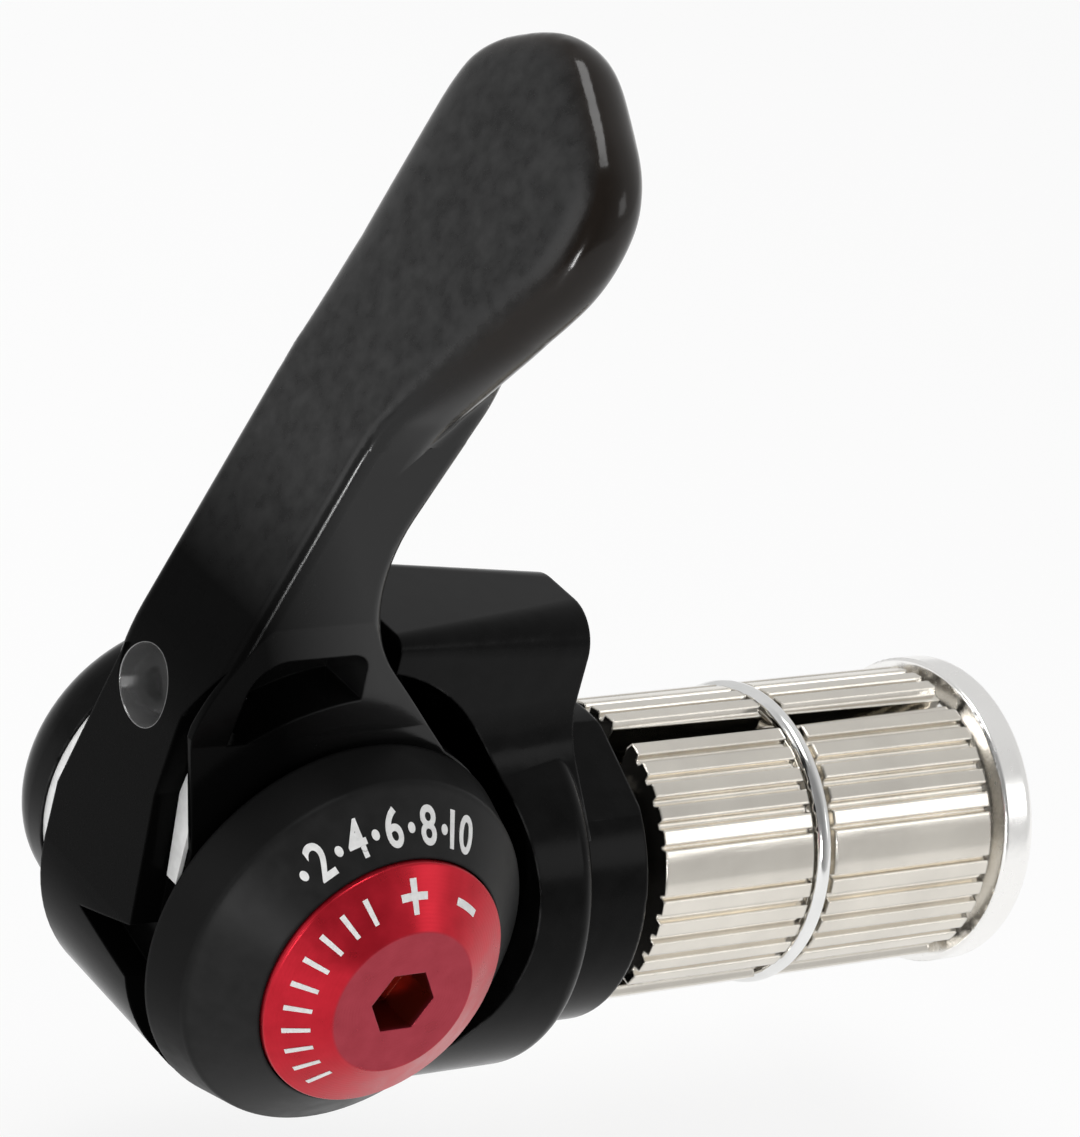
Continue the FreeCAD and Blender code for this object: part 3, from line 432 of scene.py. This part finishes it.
def red_anodised():
    """Red bolt: a deep ring round a paler turned face, with painted shade in its socket."""
    made, tree, shader = new_material("red_anodised", Metallic=0.75)
    stain = speckle(tree, 1.5 * mm, 4.0)
    stained = spread(tree, stain, 0.0, 1.0)
    ring = blend(tree, stained, (0.46, 0.008, 0.020, 1.0), (0.55, 0.012, 0.028, 1.0))
    face = blend(tree, stained, (0.32, 0.026, 0.042, 1.0), (0.38, 0.037, 0.057, 1.0))
    # Painted shade: the hex socket is dark brown from just below its rim
    dark = (0.20, 0.020, 0.008, 1.0)
    from_pivot = pivot_radius(tree)
    inner = within(tree, from_pivot, RED_FACE_R, RED_FEATHER)
    in_socket = within(tree, from_pivot, SOCKET_R, SOCKET_FEATHER)
    below_rim = along(tree, FROM_CAP, BOLT_FRONT_Y + SOCKET_SHADE_FROM, BOLT_FRONT_Y + SOCKET_SHADE_FULL)
    front = blend(tree, inner, ring, face)
    color = blend(tree, times(tree, in_socket, below_rim), front, dark)
    rings = turned_rings(tree, 0.22 * mm)
    tree.links.new(color, shader.inputs["Base Color"])
    tree.links.new(spread(tree, stain, 0.26, 0.36), shader.inputs["Roughness"])
    tree.links.new(relief(tree, rings, 0.001 * mm, 0.12 * mm), shader.inputs["Normal"])
    return made


def mark_paint():
    """White printed paint."""
    return moulded(
        "mark_paint", (0.84, 0.84, 0.83), rough=0.5, grain=0.4 * mm, depth=0.002 * mm, edge=0.02 * mm)


def materials():
    """One material per node of the part."""
    black_pod = painted(
        "pod_black", dark=0.002, pale=0.004, rough=0.18, grain=1.4 * mm, depth=0.002 * mm, edge=0.25 * mm,
        wear_and_sheen=0.10, Specular_IOR_Level=0.07)
    black_bolt = painted(
        "bolt_black", dark=0.014, pale=0.022, rough=0.45, grain=0.8 * mm, depth=0.004 * mm, edge=0.12 * mm,
        wear_and_sheen=0.10)
    nickel = bare_metal(
        "nickel", (0.78, 0.74, 0.67), rough=0.12, grain=0.5 * mm, depth=0.003 * mm, edge=0.25 * mm,
        stretch=ALONG_BAR)
    chrome = bare_metal(
        "chrome", (0.97, 0.96, 0.94), rough=0.22, grain=0.6 * mm, depth=0.001 * mm, edge=0.1 * mm, tint=0.97)
    wire = bare_metal(
        "spring_wire", (0.90, 0.90, 0.89), rough=0.12, grain=0.4 * mm, depth=0.002 * mm, edge=0.05 * mm)
    steel = bare_metal(
        "steel", (0.50, 0.50, 0.51), rough=0.30, grain=0.3 * mm, depth=0.002 * mm, edge=0.08 * mm)
    bright = bare_metal(
        "bright_steel", (0.70, 0.70, 0.70), rough=0.12, grain=0.4 * mm, depth=0.001 * mm, edge=0.05 * mm)
    blued = bare_metal(
        "spring_steel", (0.12, 0.12, 0.14), rough=0.34, grain=0.3 * mm, depth=0.002 * mm, edge=0.06 * mm)
    zinc = bare_metal(
        "zinc", (0.34, 0.34, 0.34), rough=0.42, grain=0.4 * mm, depth=0.006 * mm, edge=0.1 * mm)
    bearing = moulded(
        "bearing_plastic", (0.75, 0.73, 0.68), rough=0.5, grain=0.8 * mm, depth=0.004 * mm, edge=0.08 * mm)
    nylon = moulded(
        "white_nylon", (0.86, 0.86, 0.85), rough=0.42, grain=0.8 * mm, depth=0.003 * mm, edge=0.08 * mm)
    fibre = moulded(
        "fibre", (0.20, 0.13, 0.09), rough=0.8, grain=0.3 * mm, depth=0.02 * mm, edge=0.05 * mm)
    made = {
        "pod_body": black_pod,
        "lever": forged_black(),
        "hub_cap": turned_black(),
        "tension_bolt": red_anodised(),
        "expander_bolt": black_bolt,
        "wedge_nut": chrome,
        "ring_spring": wire,
        "nipple_seat": zinc,
        "detent_balls": bright,
        "friction_washer": fibre,
    }
    made.update(dict.fromkeys(("base_washer", "groove_pad"), nylon))
    made.update(dict.fromkeys(("lever_bush", "ball_cage"), bearing))
    made.update(dict.fromkeys(("detent_spring", "thrust_plate", "cone_spring"), blued))
    made.update(dict.fromkeys(("pivot_post", "index_plate", "tension_washer", "expander_washer"), steel))
    made.update({name: nickel for name in nodes if name.startswith("expander_segment")})
    return made


def dress():
    """Give every node its material."""
    for name, material in materials().items():
        nodes[name].data.materials.clear()
        nodes[name].data.materials.append(material)


def cut_off(part, level, above):
    """Cut a mesh at a level plane, keep one side, close it and give the faces that close it."""
    cut = bmesh.ops.bisect_plane(
        part, geom=part.verts[:] + part.edges[:] + part.faces[:], plane_co=(0.0, 0.0, level), plane_no=UP,
        clear_inner=above, clear_outer=not above)
    rim = [e for e in cut["geom_cut"] if isinstance(e, bmesh.types.BMEdge)]
    closing = bmesh.ops.edgeloop_fill(part, edges=rim)["faces"]
    for face in closing:
        face.normal_update()
        looks_up = face.normal.z > 0.0
        if looks_up == above:
            face.normal_flip()
    return closing


def evenly_meshed(part):
    """Closed mesh rebuilt on an even grid."""
    mesh = bpy.data.meshes.new("even")
    part.to_mesh(mesh)
    holder = bpy.data.objects.new("even", mesh)
    bpy.context.scene.collection.objects.link(holder)
    grid = holder.modifiers.new("grid", "REMESH")
    grid.mode = "VOXEL"
    grid.voxel_size = ROUND_GRID
    bpy.context.view_layer.update()
    seen = bpy.context.evaluated_depsgraph_get()
    rebuilt = bpy.data.meshes.new_from_object(holder.evaluated_get(seen))
    even = bmesh.new()
    even.from_mesh(rebuilt)
    bpy.data.objects.remove(holder)
    bpy.data.meshes.remove(mesh)
    bpy.data.meshes.remove(rebuilt)
    return even


def held(share):
    """Share kept between 0 and 1."""
    return min(max(share, 0.0), 1.0)


def nearest_on(outline, point):
    """Nearest point of a closed outline."""
    tries = []
    for start, end in zip(outline, outline[1:] + outline[:1]):
        share = intersect_point_line(point, start, end)[1]
        tries.append(start.lerp(end, held(share)))
    return min(tries, key=lambda near: (near - point).length)


def rounded_paddle(solid, outline):
    """Upper end of the lever as a closed mesh, rounded over, with its foot on the lower end's outline."""
    upper = solid.copy()
    cut_off(upper, ROUND_CUT_Z - ROUND_ROOM, True)
    even = evenly_meshed(upper)
    upper.free()
    height = ROUND_FULL_Z - ROUND_FROM_Z
    for v in even.verts:
        in_plane = v.normal - FACE_WAY * v.normal.dot(FACE_WAY)
        v.co += in_plane * ROUND_SWELL * held((v.co.z - ROUND_FROM_Z) / height)
    for turn in range(ROUND_PASSES):
        level = ROUND_FROM_Z + height * turn / ROUND_PASSES
        bmesh.ops.smooth_vert(
            even, verts=[v for v in even.verts if v.co.z > level], factor=ROUND_STEP,
            use_axis_x=True, use_axis_y=True, use_axis_z=True)
    foot = cut_off(even, ROUND_CUT_Z, True)
    for v in {v for face in foot for v in face.verts}:
        v.co = nearest_on(outline, v.co)
    bmesh.ops.split(even, geom=foot)
    return even


def with_solid_normals(mesh):
    """Copy of a node's mesh whose points carry its normals, so that they outlast a cut."""
    plain = mesh.copy()
    kept = plain.attributes.new("solid_normal", "FLOAT_VECTOR", "POINT")
    for corner, normal in zip(plain.loops, plain.corner_normals):
        kept.data[corner.vertex_index].vector = normal.vector
    return plain


def rounded_lever(finish):
    """Lever with its paddle rounded over, in place of the plain solid."""
    whole = bmesh.new()
    whole.from_mesh(with_solid_normals(nodes["lever"].data))
    solid = whole.copy()
    bmesh.ops.remove_doubles(solid, verts=solid.verts[:], dist=WELD)
    lower = solid.copy()
    seam = cut_off(lower, ROUND_CUT_Z, False)[0]
    outline = [v.co.copy() for v in seam.verts]
    paddle = rounded_paddle(solid, outline)
    cut_off(whole, ROUND_CUT_Z, False)
    whole.faces.new([whole.verts.new(point) for point in outline])
    mesh = bpy.data.meshes.new("forged_lever")
    paddle.to_mesh(mesh)
    whole.from_mesh(mesh)
    bmesh.ops.triangulate(whole, faces=[f for f in whole.faces if len(f.verts) > 4])
    whole.to_mesh(mesh)
    for part in (whole, solid, lower, paddle):
        part.free()
    mesh.shade_smooth()
    mesh.set_sharp_from_angle(angle=SHARP_EDGE)
    mesh.normals_split_custom_set_from_vertices([k.vector for k in mesh.attributes["solid_normal"].data])
    mesh.materials.clear()
    mesh.materials.append(finish)
    made = bpy.data.objects.new("forged_lever", mesh)
    bpy.context.scene.collection.objects.link(made)
    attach(made, "lever")
    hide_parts("lever")


def surface_of(name):
    """Tree for rays onto a node of the part."""
    mesh = nodes[name].data
    return BVHTree.FromPolygons([v.co for v in mesh.vertices], [p.vertices for p in mesh.polygons])


def laid_round_pivot(points, surface, radius, angle_deg):
    """Points of a flat mark, as (across, outward), laid on a node's front at one place round the pivot."""
    placed = []
    for across, outward in points:
        reach = radius + outward
        angle = math.radians(angle_deg) - across / radius
        start = PIVOT + Vector((reach * math.cos(angle), MARK_RAY_FROM_Y, reach * math.sin(angle)))
        hit, normal = surface.ray_cast(start, FROM_CAP)[:2]
        outwards = -normal if normal.y > 0.0 else normal
        placed.append(hit + outwards * MARK_LIFT)
    return placed


def mark_object(name, points, faces, body, paint):
    """Thin printed mark that rides on a body."""
    mesh = bpy.data.meshes.new(name)
    mesh.from_pydata(points, [], faces)
    mesh.materials.append(paint)
    made = bpy.data.objects.new(name, mesh)
    bpy.context.scene.collection.objects.link(made)
    thick = made.modifiers.new("thickness", "SOLIDIFY")
    thick.thickness = MARK_T
    thick.offset = 0.0
    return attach(made, body)


def glyph(text, height):
    """Flat mesh of a text, as points centred across and outward, and faces."""
    curve = bpy.data.curves.new("glyph", "FONT")
    curve.body = text
    curve.size = height / NUMERAL_SHARE_OF_SIZE
    curve.offset = NUMERAL_BOLD
    curve.align_x = "CENTER"
    curve.align_y = "CENTER"
    curve.resolution_u = NUMERAL_STEPS
    holder = bpy.data.objects.new("glyph", curve)
    bpy.context.scene.collection.objects.link(holder)
    bpy.context.view_layer.update()
    mesh = bpy.data.meshes.new_from_object(holder)
    points = [(v.co.x, v.co.y) for v in mesh.vertices]
    faces = [tuple(p.vertices) for p in mesh.polygons]
    bpy.data.objects.remove(holder)
    bpy.data.curves.remove(curve)
    bpy.data.meshes.remove(mesh)
    return points, faces


def bar(width, length):
    """Flat bar across and outward, cut into strips so that it follows a round face."""
    points = []
    faces = []
    for i in range(BAR_STRIPS + 1):
        out = length * (i / BAR_STRIPS - 0.5)
        points += [(-width / 2.0, out), (width / 2.0, out)]
        if i:
            faces.append((2 * i - 2, 2 * i - 1, 2 * i + 1, 2 * i))
    return points, faces


def dot():
    """Flat round dot."""
    turns = [math.tau * i / DOT_CORNERS for i in range(DOT_CORNERS)]
    return [(DOT_R * math.cos(a), DOT_R * math.sin(a)) for a in turns], [tuple(range(DOT_CORNERS))]


def cap_numerals(paint):
    """Gear numbers round the cap, with a dot for each odd one."""
    surface = surface_of("hub_cap")
    for gear in range(1, GEAR_COUNT + 1):
        angle = GEAR_MIDDLE_DEG - GEAR_PITCH_DEG * (gear - (GEAR_COUNT + 1) / 2.0)
        points, faces = dot() if gear % 2 else glyph(str(gear), NUMERAL_HEIGHT)
        placed = laid_round_pivot(points, surface, NUMERAL_R, angle)
        mark_object("cap_mark_%d" % gear, placed, faces, "pod", paint)


def bolt_marks(paint):
    """Ticks and the two signs on the red bolt's ring."""
    surface = surface_of("tension_bolt")
    points, faces = bar(TICK_WIDTH, TICK_LENGTH)
    for i in range(TICK_COUNT):
        placed = laid_round_pivot(points, surface, TICK_R, TICK_FROM_DEG + TICK_STEP_DEG * i)
        mark_object("bolt_tick_%d" % (i + 1), placed, faces, "tension_bolt", paint)
    upright, upright_faces = bar(SIGN_WIDTH, SIGN_SIZE)
    level = [(out, across) for across, out in upright]
    for name, points, angle in (
            ("bolt_plus_upright", upright, PLUS_DEG), ("bolt_plus_level", level, PLUS_DEG),
            ("bolt_minus", level, MINUS_DEG)):
        placed = laid_round_pivot(points, surface, SIGN_R, angle)
        mark_object(name, placed, upright_faces, "tension_bolt", paint)


def camera():
    """Camera at the photograph's viewing angle."""
    back = Vector((
        math.sin(CAMERA_AZIMUTH) * math.cos(CAMERA_ELEVATION),
        -math.cos(CAMERA_AZIMUTH) * math.cos(CAMERA_ELEVATION),
        math.sin(CAMERA_ELEVATION)))
    level = Vector((math.cos(CAMERA_AZIMUTH), math.sin(CAMERA_AZIMUTH), 0.0))
    upright = back.cross(level)
    right = level * math.cos(CAMERA_ROLL) + upright * math.sin(CAMERA_ROLL)
    up = back.cross(right)
    data = bpy.data.cameras.new("camera")
    data.sensor_width = CAMERA_SENSOR_MM
    data.lens = CAMERA_LENS_MM
    data.clip_start = CAMERA_NEAR
    made = bpy.data.objects.new("camera", data)
    made.matrix_world = Matrix.Translation(CAMERA_AT) @ Matrix((right, up, back)).transposed().to_4x4()
    bpy.context.scene.collection.objects.link(made)
    bpy.context.scene.camera = made


def softbox(name, place, target, width, height, power):
    """Soft rectangular lamp."""
    data = bpy.data.lights.new(name, "AREA")
    data.shape = "RECTANGLE"
    data.size = width
    data.size_y = height
    data.energy = power
    made = bpy.data.objects.new(name, data)
    made.location = place
    made.rotation_mode = "QUATERNION"
    made.rotation_quaternion = (Vector(target) - Vector(place)).to_track_quat("-Z", "Y")
    bpy.context.scene.collection.objects.link(made)


def seen_directly(tree):
    """1 for what the camera sees straight, in gloss or through glass, else 0."""
    path = add(tree, "LightPath")
    seen = path.outputs["Is Camera Ray"]
    for name in ("Is Glossy Ray", "Is Transmission Ray"):
        seen = maths(tree, "Math", "MAXIMUM", seen, path.outputs[name]).outputs["Value"]
    return seen


def floor(lowest):
    """Pale floor under the part."""
    mesh = bpy.data.meshes.new("floor")
    corners = [(-FLOOR_R, -FLOOR_R), (FLOOR_R, -FLOOR_R), (FLOOR_R, FLOOR_R), (-FLOOR_R, FLOOR_R)]
    mesh.from_pydata([(x, y, lowest - FLOOR_DROP) for x, y in corners], [], [(0, 1, 2, 3)])
    made = bpy.data.objects.new("floor", mesh)
    bpy.context.scene.collection.objects.link(made)
    paint, tree, shader = new_material("floor_paint", Roughness=0.9)
    cloud = speckle(tree, FLOOR_CLOUD, 2.0)
    tree.links.new(
        blend(tree, spread(tree, cloud, 0.0, 1.0), grey(FLOOR_COLOR * FLOOR_SHADE), grey(FLOOR_COLOR)),
        shader.inputs["Base Color"])
    glow = add(tree, "Emission", Color=grey(1.0), Strength=1.0)
    mixed = add(tree, "MixShader")
    tree.links.new(times(tree, seen_directly(tree), FLOOR_GLOW), mixed.inputs[0])
    tree.links.new(shader.outputs["BSDF"], mixed.inputs[1])
    tree.links.new(glow.outputs["Emission"], mixed.inputs[2])
    tree.links.new(mixed.outputs["Shader"], tree.nodes["Material Output"].inputs["Surface"])
    mesh.materials.append(paint)


def world():
    """Pale studio round the part, dimmer on the side the camera stands on."""
    made = bpy.data.worlds.new("studio")
    made.use_nodes = True
    bpy.context.scene.world = made
    tree = made.node_tree
    direction = add(tree, "TexCoord").outputs["Generated"]
    towards = maths(tree, "VectorMath", "DOT_PRODUCT", direction, CAMERA_AT.normalized()).outputs["Value"]
    level = spread(tree, towards, WORLD_FAR, WORLD_NEAR, *WORLD_TURN)
    backdrop = tree.nodes["Background"]
    backdrop.inputs["Color"].default_value = grey(1.0)
    tree.links.new(level, backdrop.inputs["Strength"])


def lamps():
    """Overhead softbox, one at each side and a small lamp by the camera."""
    for lamp in LAMPS:
        softbox(*lamp)


def main():
    """Dress the part and set the studio."""
    bpy.context.scene.view_settings.view_transform = "Standard"
    dress()
    rounded_lever(nodes["lever"].data.materials[0])
    paint = mark_paint()
    cap_numerals(paint)
    bolt_marks(paint)
    floor(cad_box[0].z)
    world()
    lamps()
    camera()


main()
